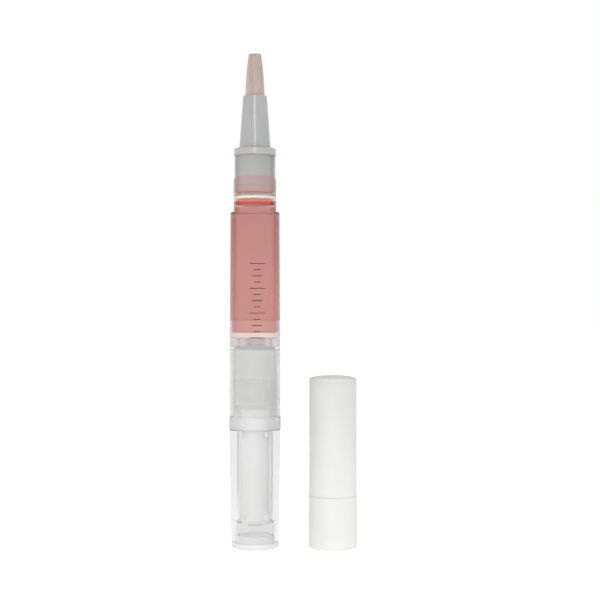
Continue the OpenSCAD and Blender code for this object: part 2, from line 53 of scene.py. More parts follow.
# Sizes that more than one piece needs, in millimetres.
BORE = 4.3           # radius inside the barrel
NECK_BORE = 3.7      # radius inside the barrel's neck
BARREL_LOW_R = 5.37  # the barrel tapers from this radius at the joint line
BARREL_TOP_R = 5.25  # to this one at its shoulder
JOINT_LINE = 42.1    # height where barrel and sleeve meet
BARREL_TOP = 71.2    # height of the shoulder outside
SHOULDER = 70.3      # height of the shoulder inside
RING_TOP = 27.9      # height where sleeve and ring band meet
CUP_BORE = 3.42      # radius inside the piston's cup
CUP_FLOOR = 45.7     # height of the cup's floor
PISTON_TOP = 48.3

SEGMENTS = 128       # faces round a turned piece
SHARP = 32           # degrees between two faces, above which their edge is sharp
ON_AXIS = 1e-6       # a smaller radius is a point on the axis
NO_LENGTH = 1e-9     # a shorter span has no normal of its own
ARC_SHARE = 0.45     # the most of a side that the arc at its corner takes up


# ---------------------------------------------------------------- meshes

def linked(name, data):
    """A new object in the scene, from a mesh, lamp or camera."""
    obj = bpy.data.objects.new(name, data)
    SCENE.collection.objects.link(obj)
    return obj


def mesh_in_metres(name, verts, faces):
    mesh = bpy.data.meshes.new(name)
    mesh.from_pydata([(x * MM, y * MM, z * MM) for x, y, z in verts], [], faces)
    return mesh


def add_mesh(name, verts, faces, sharp=SHARP):
    """An object from points in millimetres, smooth except where faces meet at a sharp angle."""
    mesh = mesh_in_metres(name, verts, faces)
    mesh.validate()
    mesh.update()
    mesh.shade_smooth()
    mesh.set_sharp_from_angle(angle=math.radians(sharp))
    return linked(name, mesh)


def rounded(outline, closed=True, steps=4):
    """Corners given as (r, z) stay sharp, and those given as (r, z, radius) become arcs."""
    out = []
    n = len(outline)
    for i, p in enumerate(outline):
        radius = p[2] if len(p) > 2 else 0
        if not radius or (not closed and i in (0, n - 1)):
            out.append((p[0], p[1]))
            continue
        a, b, c = Vector(outline[i - 1][:2]), Vector(p[:2]), Vector(outline[(i + 1) % n][:2])
        u, v = a - b, c - b
        half = u.angle(v) / 2
        reach = min(radius / math.tan(half), ARC_SHARE * u.length, ARC_SHARE * v.length)
        radius = reach * math.tan(half)
        u.normalize()
        v.normalize()
        centre = b + (u + v).normalized() * (radius / math.sin(half))
        first, last = b + u * reach - centre, b + v * reach - centre
        start = math.atan2(first.y, first.x)
        turn = math.atan2(last.y, last.x) - start
        turn = (turn + math.pi) % (2 * math.pi) - math.pi
        for k in range(steps + 1):
            t = start + turn * k / steps
            out.append((centre.x + radius * math.cos(t), centre.y + radius * math.sin(t)))
    return out


def lathe(name, outline, closed=True, cx=0.0):
    """An outline turned round the axis at x = cx.

    Its normals are set exactly, so that long walls stay true beside small fillets. Each span of the
    outline gives SEGMENTS faces, in the outline's order.
    """
    n = len(outline)
    spans = [(outline[i], outline[(i + 1) % n]) for i in range(n if closed else n - 1)]
    rims = [Vector((b[1] - a[1], a[0] - b[0])) for a, b in spans]

    def shared(first, second):
        """The normal at a corner, or nothing where the corner is sharp."""
        if min(first.length, second.length) < NO_LENGTH or first.angle(second) > math.radians(SHARP):
            return None
        return (first + second).normalized()

    verts, rings = [], []
    for r, z in outline:
        turns = [2 * math.pi * k / SEGMENTS for k in range(SEGMENTS)] if r > ON_AXIS else [0.0]
        rings.append([len(verts) + k for k in range(len(turns))])
        verts += [(cx + r * math.cos(t), r * math.sin(t), z) for t in turns]
    faces, normals = [], []
    for i, rim in enumerate(rims):
        a, b = rings[i], rings[(i + 1) % n]
        if len(a) == 1 and len(b) == 1:
            continue
        before = shared(rims[i - 1], rim) if closed or i > 0 else None
        after = shared(rim, rims[(i + 1) % len(rims)]) if closed or i + 1 < len(rims) else None
        low, high = before or rim.normalized(), after or rim.normalized()
        for k in range(SEGMENTS):
            m = (k + 1) % SEGMENTS
            corners = [(a, k, low), (a, m, low), (b, m, high), (b, k, high)]
            if len(a) == 1:
                corners = [(a, k, low), (b, m, high), (b, k, high)]
            elif len(b) == 1:
                corners = [(a, k, low), (a, m, low), (b, k, high)]
            faces.append(tuple(ring[0] if len(ring) == 1 else ring[j] for ring, j, _ in corners))
            for ring, j, normal in corners:
                t = 2 * math.pi * (j + (0.5 if len(ring) == 1 else 0.0)) / SEGMENTS
                normals.append((normal.x * math.cos(t), normal.x * math.sin(t), normal.y))
    mesh = mesh_in_metres(name, verts, faces)
    mesh.update()
    mesh.shade_smooth()
    mesh.normals_split_custom_set(normals)
    return linked(name, mesh)


def dress(obj, material, body, slot, *nodes, clear=False):
    """Gives a piece its material and body, and says which CAD nodes it stands for. Its slot is not used.

    A clear piece casts no shadow, so that lamp light reaches what is inside it.
    """
    obj.visible_shadow = not clear
    obj.data.materials.clear()
    obj.data.materials.append(material)
    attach(obj, body)
    if nodes:
        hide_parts(*nodes)
    return obj


# ---------------------------------------------------------------- nodes

def ranged(tree, value, start, stop, low=0.0, high=1.0):
    """Runs from low to high while the given value runs from start to stop."""
    node = tree.nodes.new("ShaderNodeMapRange")
    node.inputs["From Min"].default_value = start
    node.inputs["From Max"].default_value = stop
    node.inputs["To Min"].default_value = low
    node.inputs["To Max"].default_value = high
    tree.links.new(value, node.inputs["Value"])
    return node.outputs["Result"]


def ramp(tree, value, stops):
    """A colour by a value from 0 to 1, with stops as (place, colour)."""
    node = tree.nodes.new("ShaderNodeValToRGB")
    elements = node.color_ramp.elements
    while len(elements) < len(stops):
        elements.new(0.5)
    for element, (place, colour) in zip(elements, stops):
        element.position = place
        element.color = (*colour, 1)
    tree.links.new(value, node.inputs["Fac"])
    return node.outputs["Color"]


def mixed(tree, factor, first, second, blend="MIX"):
    """Two colours, mixed. The factor is a socket or a number, and each colour a socket or a grey level."""
    node = tree.nodes.new("ShaderNodeMix")
    node.data_type = "RGBA"
    node.blend_type = blend
    amount, colour_a, colour_b = node.inputs[0], node.inputs[6], node.inputs[7]
    for value, socket in ((factor, amount), (first, colour_a), (second, colour_b)):
        if not isinstance(value, float):
            tree.links.new(value, socket)
        elif socket == amount:
            socket.default_value = value
        else:
            socket.default_value = (value, value, value, 1)
    return node.outputs[2]


def vector_math(tree, operation, vector):
    node = tree.nodes.new("ShaderNodeVectorMath")
    node.operation = operation
    tree.links.new(vector, node.inputs[0])
    return node


def axes(tree, vector):
    """The X, Y and Z of a vector."""
    node = tree.nodes.new("ShaderNodeSeparateXYZ")
    tree.links.new(vector, node.inputs["Vector"])
    return node.outputs


# ---------------------------------------------------------------- materials

NOISE_LOW, NOISE_HIGH = 0.3, 0.7   # the middle of a noise's range, where nearly all of it lies


def grey(level):
    return level, level, level


class Shader:
    """A node material built round one Principled shader."""

    def __init__(self, name, **values):
        self.material = bpy.data.materials.new(name)
        self.material.use_nodes = True
        self.tree = self.material.node_tree
        self.tree.nodes.clear()
        out = self.tree.nodes.new("ShaderNodeOutputMaterial")
        self.main = self.tree.nodes.new("ShaderNodeBsdfPrincipled")
        self.tree.links.new(self.main.outputs["BSDF"], out.inputs["Surface"])
        for key, value in values.items():
            self.main.inputs[key.replace("_", " ")].default_value = value
        self.place = self.tree.nodes.new("ShaderNodeTexCoord").outputs["Object"]

    def noise(self, scale, detail, roughness=0.5):
        """Noise whose scale is one number or one for each axis: 1000 makes marks about 1 mm wide."""
        scales = scale if isinstance(scale, tuple) else (scale, scale, scale)
        stretched = self.tree.nodes.new("ShaderNodeMapping")
        stretched.inputs["Scale"].default_value = scales
        self.tree.links.new(self.place, stretched.inputs["Vector"])
        node = self.tree.nodes.new("ShaderNodeTexNoise")
        node.inputs["Scale"].default_value = 1.0
        node.inputs["Detail"].default_value = detail
        node.inputs["Roughness"].default_value = roughness
        self.tree.links.new(stretched.outputs["Vector"], node.inputs["Vector"])
        return node.outputs["Fac"]

    def mottle(self, noise, low, high):
        """A colour that a noise takes from low to high."""
        return ramp(self.tree, noise, [(NOISE_LOW, low), (NOISE_HIGH, high)])

    def by_height(self, low, high, stops):
        """A colour by height in millimetres, with stops from 0 at the lower one to 1 at the upper one."""
        height = axes(self.tree, self.place)["Z"]
        return ramp(self.tree, ranged(self.tree, height, low * MM, high * MM), stops)

    def colour(self, colour, mottle=None):
        """Sets the base colour, multiplied by a mottle where one is given."""
        if mottle:
            colour = mixed(self.tree, 1.0, colour, mottle, "MULTIPLY")
        self.tree.links.new(colour, self.main.inputs["Base Color"])

    def roughness(self, noise, low, high):
        rough = ranged(self.tree, noise, NOISE_LOW, NOISE_HIGH, low, high)
        self.tree.links.new(rough, self.main.inputs["Roughness"])

    def bump(self, noise, height):
        """Relief with a height in metres."""
        node = self.tree.nodes.new("ShaderNodeBump")
        node.inputs["Strength"].default_value = 1.0
        node.inputs["Distance"].default_value = height
        self.tree.links.new(noise, node.inputs["Height"])
        self.tree.links.new(node.outputs["Normal"], self.main.inputs["Normal"])


def clear_plastic(name, tint, rough=(0.0, 0.03), wave=2e-6, haze=0.0):
    """Clear plastic: slow moulding waves, with a height in metres, and milkiness where haze is over 0."""
    s = Shader(name, Base_Color=(*tint, 1), Transmission_Weight=1.0 - haze, IOR=1.49)
    s.roughness(s.noise((900, 900, 260), 5, 0.6), *rough)
    s.bump(s.noise((160, 160, 60), 1), wave)
    return s.material


def moulded(name, low, high, rough, subsurface=0.0):
    """Satin moulded plastic: faint mottling and a fine spark-eroded grain."""
    s = Shader(name, IOR=1.49)
    if subsurface:
        s.main.inputs["Subsurface Weight"].default_value = subsurface
        s.main.inputs["Subsurface Scale"].default_value = 0.0012
        s.main.inputs["Subsurface Radius"].default_value = (1.0, 0.9, 0.8)
    s.colour(s.mottle(s.noise((240, 240, 90), 4), low, high))
    s.roughness(s.noise(1800, 4), *rough)
    s.bump(s.noise(5200, 2), 3e-6)
    return s.material


BARREL_CLEAR = clear_plastic("barrel clear plastic", grey(0.92))
SLEEVE_CLEAR = clear_plastic("sleeve hazy plastic", (0.84, 0.84, 0.835), (0.05, 0.11), haze=0.26)
RATCHET = clear_plastic("ratchet hazy plastic", (0.95, 0.95, 0.945), (0.05, 0.11), haze=0.2)
RING_CLEAR = clear_plastic("ring hazy plastic", grey(0.80), (0.36, 0.46), haze=0.38)
KNOB_CLEAR = clear_plastic("knob clear plastic", (0.84, 0.84, 0.838), wave=6e-7)
BASE_CLEAR = clear_plastic("base clear plastic", (0.93, 0.93, 0.935), (0.14, 0.24), haze=0.5)
WHITE = moulded("white moulded plastic", (0.72, 0.66, 0.65), (0.78, 0.71, 0.70), (0.36, 0.46), 0.2)
CORE = moulded("core white plastic", grey(0.86), grey(0.89), (0.4, 0.55))
NATURAL = moulded("natural plastic", (0.49, 0.49, 0.485), (0.53, 0.53, 0.525), (0.36, 0.5))
SILICONE = moulded("drag silicone", grey(0.80), grey(0.86), (0.45, 0.6))

# Milky piston plastic: greyer at its skirt, and pinker where its wall is thin against the oil, which is
# painted pink light from the oil above.
milky = Shader("milky piston plastic", Transmission_Weight=0.93, IOR=1.45)
milky.colour(milky.by_height(42.0, 49.0, [
    (0.0, (0.86, 0.82, 0.81)), (0.34, (0.86, 0.82, 0.81)), (0.36, (0.97, 0.76, 0.73)),
    (0.52, (0.97, 0.76, 0.73)), (0.54, (0.98, 0.84, 0.82))]))
milky.roughness(milky.noise(1500, 3), 0.1, 0.16)
milky.bump(milky.noise(1400, 2), 3e-6)
MILKY = milky.material

# Frosted cap: painted shade, darker towards its crown and paler towards its mouth, and a darker painted
# shadow line where the groove runs round it.
frosted = Shader("frosted cap plastic", Transmission_Weight=0.35, IOR=1.45)
frosted.colour(
    frosted.by_height(0.0, 40.0, [
        (0.0, (1, 1, 0.985)), (0.2705, (0.99, 0.99, 0.975)), (0.272, (0.76, 0.76, 0.75)),
        (0.2745, (0.76, 0.76, 0.75)), (0.276, (0.99, 0.99, 0.975)), (0.62, (0.915, 0.915, 0.90)),
        (0.85, (0.86, 0.86, 0.85)), (0.88, (0.80, 0.80, 0.79))]),
    frosted.mottle(frosted.noise((120, 120, 50), 3), grey(0.98), grey(1)))
frosted.roughness(frosted.noise(900, 3), 0.44, 0.54)
frosted.bump(frosted.noise((160, 160, 60), 1), 1e-6)
FROSTED = frosted.material

# Nail oil: a little darker towards the top of the barrel, painted shade.
oil = Shader("pink nail oil", Transmission_Weight=1.0, IOR=1.45)
oil.colour(oil.by_height(48.0, 75.0, [
    (0.0, (0.71, 0.29, 0.25)), (0.35, (0.70, 0.285, 0.245)), (0.75, (0.65, 0.25, 0.22))]))
oil.roughness(oil.noise(300, 2), 0.0, 0.01)
OIL = oil.material

# Holder: its plug is stained by the oil from below and has a thin dark line round it, painted shade; its
# collar has a warm lower edge; and it greys towards the cone, also painted shade.
holder_plastic = Shader("holder plastic", IOR=1.49, Specular_IOR_Level=0.9, Subsurface_Weight=0.15,
                        Subsurface_Scale=0.001)
holder_plastic.colour(
    holder_plastic.by_height(75.0, 85.0, [
        (0.000, (0.53, 0.22, 0.19)), (0.056, (0.53, 0.25, 0.21)), (0.076, (0.46, 0.33, 0.31)),
        (0.184, (0.46, 0.335, 0.315)), (0.188, (0.34, 0.23, 0.21)), (0.192, (0.34, 0.23, 0.21)),
        (0.196, (0.47, 0.34, 0.32)), (0.374, (0.48, 0.35, 0.335)), (0.390, grey(0.44)),
        (0.820, grey(0.44)), (0.832, (0.44, 0.385, 0.375)), (0.865, (0.44, 0.385, 0.375)),
        (0.890, grey(0.42)), (1.000, (0.38, 0.38, 0.383))]),
    holder_plastic.mottle(holder_plastic.noise((240, 240, 90), 4), grey(0.95), grey(1)))
holder_plastic.roughness(holder_plastic.noise(1800, 4), 0.17, 0.23)
holder_plastic.bump(holder_plastic.noise(5200, 2), 2e-6)
HOLDER = holder_plastic.material

# The oil's surface in the neck, by height: a pale band at the bowl's floor that is a painted reflection, a
# deep red band above it that is painted shade, and a paler red towards its rim.
meniscus = Shader("oil surface", Specular_IOR_Level=0.1, IOR=1.45)
meniscus.colour(meniscus.by_height(72.35, 73.75, [
    (0.0, (1.0, 0.62, 0.50)), (0.15, (1.0, 0.62, 0.50)), (0.3, (0.90, 0.04, 0.02)),
    (0.5, (0.90, 0.04, 0.02)), (0.75, (1.0, 0.13, 0.08)), (1.0, (1.0, 0.33, 0.25))]))
meniscus.roughness(meniscus.noise(300, 2), 0.05, 0.12)
MENISCUS = meniscus.material

thin_oil = Shader("thin oil", Base_Color=(0.98, 0.86, 0.83, 1), Transmission_Weight=1.0, IOR=1.45)
thin_oil.roughness(thin_oil.noise(300, 2), 0.0, 0.01)
THIN_OIL = thin_oil.material

# Wetting rim of oil: its pale cream band is a painted highlight, with orange below it and a darker, greyer
# band above it.
rim_highlight = Shader("wetting rim painted highlight", IOR=1.45, Subsurface_Weight=0.2, Subsurface_Scale=0.0005)
rim_highlight.colour(
    rim_highlight.by_height(74.0, 75.1, [
        (0.0, (0.95, 0.55, 0.42)), (0.2, (0.97, 0.84, 0.78)), (0.5, (0.95, 0.88, 0.83)),
        (0.62, (0.50, 0.38, 0.36)), (1.0, (0.44, 0.33, 0.31))]),
    rim_highlight.mottle(rim_highlight.noise((2600, 2600, 900), 3), grey(0.9), grey(1)))
rim_highlight.roughness(rim_highlight.noise(900, 2), 0.1, 0.2)
RIM_HIGHLIGHT = rim_highlight.material

hair = Shader("brush filament", IOR=1.5, Sheen_Weight=0.1)
hair.colour(ramp(hair.tree, hair.noise((9000, 9000, 120), 3, 0.6), [
    (0.3, (0.50, 0.40, 0.355)), (0.5, (0.58, 0.47, 0.425)), (0.72, (0.68, 0.575, 0.535))]))
hair.roughness(hair.noise((6000, 6000, 300), 2), 0.35, 0.6)
HAIR = hair.material

ink = Shader("gauge ink", IOR=1.5)
ink.colour(ink.mottle(ink.noise(6000, 3), (0.012, 0.011, 0.012), (0.03, 0.028, 0.03)))
ink.roughness(ink.noise(3000, 3), 0.3, 0.5)
INK = ink.material


# ---------------------------------------------------------------- clear shells

def shell(name, outline, material, body, node):
    """A turned shell of clear plastic that stands for one CAD node."""
    return dress(lathe(name, rounded(outline)), material, body, "clear_plastic", node, clear=True)


shell("barrel_shell", [
    (BORE, 36.5), (4.75, 36.5, 0.08), (4.75, JOINT_LINE), (BARREL_LOW_R, JOINT_LINE, 0.12),
    (BARREL_TOP_R, BARREL_TOP, 0.06), (4.55, BARREL_TOP, 0.1), (4.55, 78.4, 0.07), (4.35, 78.4, 0.07),
    (4.35, 83.3, 0.06), (NECK_BORE, 83.3, 0.06), (NECK_BORE, SHOULDER), (BORE, SHOULDER)],
    BARREL_CLEAR, "barrel", "barrel")

shell("sleeve_shell", [
    (4.77, RING_TOP), (5.4, RING_TOP, 0.07), (5.4, JOINT_LINE, 0.12), (4.77, JOINT_LINE)],
    SLEEVE_CLEAR, "barrel", "lower_sleeve")

# The ring band is hazy, and its spigot inside the sleeve is clear.
ring = shell("ring_shell", [
    (3.06, 25.1), (5.475, 25.1, 0.2), (5.475, RING_TOP, 0.2), (4.75, RING_TOP), (4.75, 30.3, 0.1),
    (3.7, 30.3), (3.7, 29.58), (3.06, 29.58)],
    RING_CLEAR, "barrel", "bearing_ring")
ring.data.materials.append(KNOB_CLEAR)
for face in ring.data.polygons:
    face.material_index = int(face.center.z > (RING_TOP + 0.05) * MM)

shell("knob_shell", [
    (4.12, 1.2), (5.05, 1.2, 0.05), (5.17, 6.0, 2.0), (5.4, 25.05, 0.12), (3.6, 25.05, 0.1),
    (3.6, 5.9), (4.12, 5.9, 0.02)],
    KNOB_CLEAR, "knob", "knob")

# The base, from the groove under it, round the rim and over the plug, to the plug's floor.
base = rounded([
    (0.0, 0.0), (1.08, 0.0, 0.03), (1.08, 0.22), (1.3, 0.22), (1.3, 0.0, 0.03), (5.05, 0.0, 0.85),
    (5.05, 1.16), (5.03, 1.22), (4.13, 1.22), (4.1, 1.3), (4.1, 2.7, 0.1), (3.4, 2.7, 0.1),
    (3.4, 1.2, 0.1), (0.0, 1.2)], closed=False, steps=6)
dress(lathe("base_plug_shell", base, closed=False), BASE_CLEAR, "knob", "clear_plastic", "end_plug",
      clear=True)


# ---------------------------------------------------------------- cap

CAP_X = 16.625                # the cap's axis
CAP_H = 36.6
CAP_ROOF = 34.65              # height of the roof inside
CAP_R = 5.15                  # outside radius at the mouth
CAP_BORE = 4.72               # inside radius below the step
UPPER_BORE = 4.64             # and above it
CROWN_R, CROWN_H = 4.52, 0.45   # the crown is a shallow dome
CORNER_R = 0.5                # the round between crown and wall

ball = (CROWN_R ** 2 + CROWN_H ** 2) / (2 * CROWN_H)
crown_radii = [CROWN_R * (1 - k / 8) for k in range(9)]
crown = [(r, CAP_H - ball + math.sqrt(ball ** 2 - r ** 2)) for r in crown_radii]
corner = [(CROWN_R + CORNER_R * math.cos(math.radians(a)),
           CAP_H - CROWN_H - CORNER_R + CORNER_R * math.sin(math.radians(a)))
          for a in (0, 14, 28, 42, 56, 70, 80)]
inside = rounded([
    (0.0, CAP_ROOF), (UPPER_BORE, CAP_ROOF, 0.5), (UPPER_BORE, 10.97), (4.58, 10.91, 0.02),
    (UPPER_BORE, 10.85), (CAP_BORE, 10.85, 0.03), (CAP_BORE, 0.0)], closed=False, steps=5)
mouth = rounded([(CAP_BORE, 0.6), (CAP_BORE, 0.0, 0.12), (CAP_R, 0.0, 0.14), (5.148, 0.8)],
                closed=False, steps=5)
groove = rounded([
    (5.148, 0.8), (5.135, 10.8, 0.03), (5.03, 10.86, 0.02), (5.03, 10.96, 0.02), (5.065, 11.02, 0.03),
    (5.05, 14.0)], closed=False)
cap_line = mouth[1:] + groove[1:] + corner + crown + inside[:-1] + mouth[:1]
dress(lathe("cap_shell", cap_line, cx=CAP_X), FROSTED, "cap", "frosted_plastic", "cap")


# ---------------------------------------------------------------- holder and brush

# The plug, from its funnel's mouth up to the collar and the cone, and down again through the bore.
holder = rounded([
    (1.9, 75.0, 0.08), (3.5, 75.0, 0.12), (3.5, 75.3), (3.72, 75.38), (3.72, 83.28),
    (4.56, 83.28, 0.25), (4.45, 84.85, 0.3), (3.35, 84.85, 0.12), (2.55, 96.1, 0.3), (2.1, 96.1, 0.08),
    (2.1, 94.65), (0.42, 94.65), (0.42, 76.6)], steps=6)
dress(lathe("holder", holder), HOLDER, "barrel", "white_plastic", "brush_holder")

HAIRS = 1500
HAIR_SEED = 7
HAIR_POINTS = 8
HAIR_SIDES = 4
HAIR_ROOT, HAIR_TIP = 0.05, 0.03     # radius of a hair at its root and tip
BUNDLE_IN, BUNDLE_OUT = 0.46, 2.04   # inside and outside radius of the bundle at its root
ROOT_SPAN = 4.16                     # the bundle's width at its root
TIP_SPAN = 2.66, 2.00                # its width and depth at its tip
ROOT_Z, TIP_Z = 94.7, 105.08
WANDER = 0.05                        # how far a hair's tip strays sideways
UNEVEN, EDGE_DROP = 0.30, 0.05       # how much shorter single hairs and the outer ones are
HAIR_TURN = 1.3                      # turn from one hair's flats to the next one's, in radians


def strand_paths():
    """Centre lines of the hairs, packed on a sunflower's spiral and drawn in towards the tip."""
    rng = random.Random(HAIR_SEED)
    golden = math.pi * (3 - math.sqrt(5))
    paths = []
    for i in range(HAIRS):
        share = math.sqrt((i + 0.5) / HAIRS)
        angle = golden * i
        r0 = BUNDLE_IN + (BUNDLE_OUT - BUNDLE_IN) * share if i else BUNDLE_IN
        edge = share ** 4
        wander = rng.uniform(-WANDER, WANDER), rng.uniform(-WANDER, WANDER)
        z_end = TIP_Z - UNEVEN * rng.random() ** 2 - EDGE_DROP * edge
        path = []
        for k in range(HAIR_POINTS):
            t = k / (HAIR_POINTS - 1)
            draw = t ** 2
            sx = 1 + (TIP_SPAN[0] / ROOT_SPAN - 1) * draw
            sy = 1 + (TIP_SPAN[1] / ROOT_SPAN - 1) * draw
            x = r0 * math.cos(angle) * sx + wander[0] * t * (1 - edge)
            y = r0 * math.sin(angle) * sy + wander[1] * t * (1 - edge)
            path.append((x, y, ROOT_Z + (z_end - ROOT_Z) * t))
        paths.append(path)
    return paths


def hairs(name, paths):
    """Thin tapered rods with closed ends along the given lines."""
    verts, faces = [], []
    for number, path in enumerate(paths):
        first = len(verts)
        last = first + (len(path) - 1) * HAIR_SIDES
        turn = number * HAIR_TURN
        for k, (x, y, z) in enumerate(path):
            r = HAIR_ROOT + (HAIR_TIP - HAIR_ROOT) * k / (len(path) - 1)
            for s in range(HAIR_SIDES):
                a = turn + 2 * math.pi * s / HAIR_SIDES
                verts.append((x + r * math.cos(a), y + r * math.sin(a), z))
        for ring in range(first, last, HAIR_SIDES):
            for s in range(HAIR_SIDES):
                a, b = ring + s, ring + (s + 1) % HAIR_SIDES
                faces.append((a, b, b + HAIR_SIDES, a + HAIR_SIDES))
        faces.append(tuple(first + s for s in reversed(range(HAIR_SIDES))))
        faces.append(tuple(last + s for s in range(HAIR_SIDES)))
    return add_mesh(name, verts, faces, sharp=80)


dress(hairs("brush_hairs", strand_paths()), HAIR, "barrel", "bristle", "bristles")


# ---------------------------------------------------------------- oil and piston

# Each part of the oil runs a hair into the wall that it wets, and shares its open rings with the next part.
WET = 0.02
OIL_TOP = SHOULDER + WET
OIL_LOW = PISTON_TOP - WET
column = [(CUP_BORE + WET, OIL_LOW)]
column += [(BORE + WET, OIL_LOW + (OIL_TOP - OIL_LOW) * k / 8) for k in range(9)]
column += [(NECK_BORE + WET, OIL_TOP)]
column_oil = dress(lathe("oil_column", column, closed=False), OIL, "barrel", "nail_oil", "oil", clear=True)
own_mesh(column_oil)

# The piston is wetted all round, so its skin runs into the wall too, but for two fine grooves.
SKIN = BORE + WET
GROOVE = 4.25
piston_line = rounded([
    (0.86, 42.9), (2.2, 42.9, 0.1), (2.2, 44.4), (CUP_BORE, 44.4), (CUP_BORE, 42.62), (SKIN, 42.62, 0.04),
    (SKIN, 44.34), (GROOVE, 44.38), (GROOVE, 44.44), (SKIN, 44.48), (SKIN, 45.62), (GROOVE, 45.66),
    (GROOVE, 45.72), (SKIN, 45.76), (SKIN, PISTON_TOP, 0.08), (CUP_BORE, PISTON_TOP), (CUP_BORE, CUP_FLOOR),
    (0.0, CUP_FLOOR), (0.0, 44.4), (1.6, 44.4), (1.6, 43.3), (0.86, 43.1)])
dress(lathe("piston_body", piston_line), MILKY, "piston", "milky_plastic", "piston", clear=True)

cup = [(0.0, CUP_FLOOR - WET), (CUP_BORE + WET, CUP_FLOOR - WET), (CUP_BORE + WET, OIL_LOW)]
dress(lathe("oil_cup", cup, closed=False), OIL, "piston", "nail_oil", "oil_in_piston", clear=True)

# In the neck the oil's surface is a bowl, and a thin film climbs the wall above it to the plug.
BOWL_R, BOWL_RIM, BOWL_FLOOR = 3.52, 73.65, 72.35
FILM_TOP = 75.34
bowl = [(BOWL_R * math.cos(math.radians(a)),
         BOWL_RIM - (BOWL_RIM - BOWL_FLOOR) * math.sin(math.radians(a)))
        for a in range(0, 90, 6)] + [(0.0, BOWL_FLOOR)]
wall = [(NECK_BORE + WET, OIL_TOP), (NECK_BORE + WET, 72.5)]
film = [(NECK_BORE + WET, FILM_TOP), (BOWL_R, FILM_TOP), (BOWL_R, 74.5)]
neck = lathe("oil_neck", wall + film + bowl, closed=False)
neck_oil = dress(neck, OIL, "barrel", "nail_oil", "oil_in_neck", clear=True)
neck_oil.data.materials.append(THIN_OIL)
neck_oil.data.materials.append(MENISCUS)
span_materials = [0] * (len(wall) - 1) + [1] * (len(film) + 1) + [2] * (len(bowl) - 1)
for face in neck_oil.data.polygons:
    face.material_index = span_materials[face.index // SEGMENTS]

rim_line = [(3.725, 74.0), (3.725, 75.1), (3.62, 75.14), (3.47, 74.9), (3.45, 74.25), (3.56, 74.05)]
dress(lathe("wetting_rim", rim_line), RIM_HIGHLIGHT, "barrel", "nail_oil")


# ---------------------------------------------------------------- fill gauge, plain ticks

TICKS = 13
TICK_START, TICK_PITCH = 44.6, 1.3
TICK_H = 0.16         # thickness of a tick's line
TICK_ANGLE = 0.12     # from the front, in radians
TICK_LIFT = 0.012     # thickness of the print
TICK_STEP = 0.12      # width of one of its faces
LONG, MIDDLE, SHORT = 3.2, 2.2, 1.4


def tick(verts, faces, width, z):
    """A printed patch on the barrel's outside."""
    taper = (z - JOINT_LINE) / (BARREL_TOP - JOINT_LINE)
    r = BARREL_LOW_R + (BARREL_TOP_R - BARREL_LOW_R) * taper
    columns = max(2, int(width / TICK_STEP))
    n = columns + 1
    low_in = len(verts)
    high_in, low_out, high_out = low_in + n, low_in + 2 * n, low_in + 3 * n
    for layer in (0.0, TICK_LIFT):
        for height in (z - TICK_H / 2, z + TICK_H / 2):
            for k in range(n):
                a = -math.pi / 2 + TICK_ANGLE + (k / columns - 0.5) * width / r
                verts.append(((r + layer) * math.cos(a), (r + layer) * math.sin(a), height))
    for k in range(columns):
        faces.append((low_out + k, low_out + k + 1, high_out + k + 1, high_out + k))
        faces.append((low_in + k + 1, low_in + k, high_in + k, high_in + k + 1))
        faces.append((low_in + k, low_in + k + 1, low_out + k + 1, low_out + k))
        faces.append((high_out + k, high_out + k + 1, high_in + k + 1, high_in + k))
    faces.append((low_in, low_out, high_out, high_in))
    faces.append((low_out + columns, low_in + columns, high_in + columns, high_out + columns))


gauge_verts, gauge_faces = [], []
for number in range(TICKS):
    width = LONG if number % 4 == 0 else (MIDDLE if number % 2 == 0 else SHORT)
    tick(gauge_verts, gauge_faces, width, TICK_START + number * TICK_PITCH)
dress(add_mesh("fill_gauge", gauge_verts, gauge_faces), INK, "barrel", None)


# ---------------------------------------------------------------- CAD nodes that keep their own shape

for node, material in (
        ("feed_tube", NATURAL), ("rod_nut", NATURAL), ("ratchet_ring", RATCHET), ("drag_ring", SILICONE),
        ("drive_tube", CORE), ("click_ring", NATURAL), ("push_rod", WHITE)):
    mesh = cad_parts[node].data
    mesh.materials.clear()
    mesh.materials.append(material)


# ---------------------------------------------------------------- floor and room

# Grey levels round the pen by their direction in the world: -Y, in front of the pen, is 0, and +Y is 1.
LOW_SIDES = ((0.56, 1.0), (0.61, 0.5), (0.72, 0.5), (0.79, 0.88), (0.90, 0.91), (0.98, 0.95))
HIGH_SIDES = ((0.56, 1.0), (0.61, 0.15), (0.72, 0.2), (0.80, 0.45), (0.86, 0.75), (0.95, 1.0))


def side_level(tree, place, stops):
    """A grey level by the direction of a place from the pen's axis."""
    flat = vector_math(tree, "MULTIPLY", place)
    flat.inputs[1].default_value = (1, 1, 0)
    unit = vector_math(tree, "NORMALIZE", flat.outputs["Vector"])
    turn = ranged(tree, axes(tree, unit.outputs["Vector"])["Y"], -1.0, 1.0)
    return ramp(tree, turn, [(where, grey(level)) for where, level in stops])


def white_to_camera(tree, level):
    """White where the camera sees it, and the given level in mirrors and through clear plastic."""
    return mixed(tree, tree.nodes.new("ShaderNodeLightPath").outputs["Is Camera Ray"], level, 1.0)


def light_path_mix(tree, plain, seen):
    """One shader for light that falls on things, and one for camera, mirror and see-through rays."""
    path = tree.nodes.new("ShaderNodeLightPath")
    total = path.outputs["Is Camera Ray"]
    for other in ("Is Glossy Ray", "Is Transmission Ray"):
        add = tree.nodes.new("ShaderNodeMath")
        add.operation = "MAXIMUM"
        tree.links.new(total, add.inputs[0])
        tree.links.new(path.outputs[other], add.inputs[1])
        total = add.outputs[0]
    mix = tree.nodes.new("ShaderNodeMixShader")
    tree.links.new(total, mix.inputs["Fac"])
    tree.links.new(plain.outputs[0], mix.inputs[1])
    tree.links.new(seen.outputs[0], mix.inputs[2])
    return mix.outputs["Shader"]


def diffuse(tree, level):
    node = tree.nodes.new("ShaderNodeBsdfDiffuse")
    node.inputs["Color"].default_value = (*grey(level), 1)
    return node


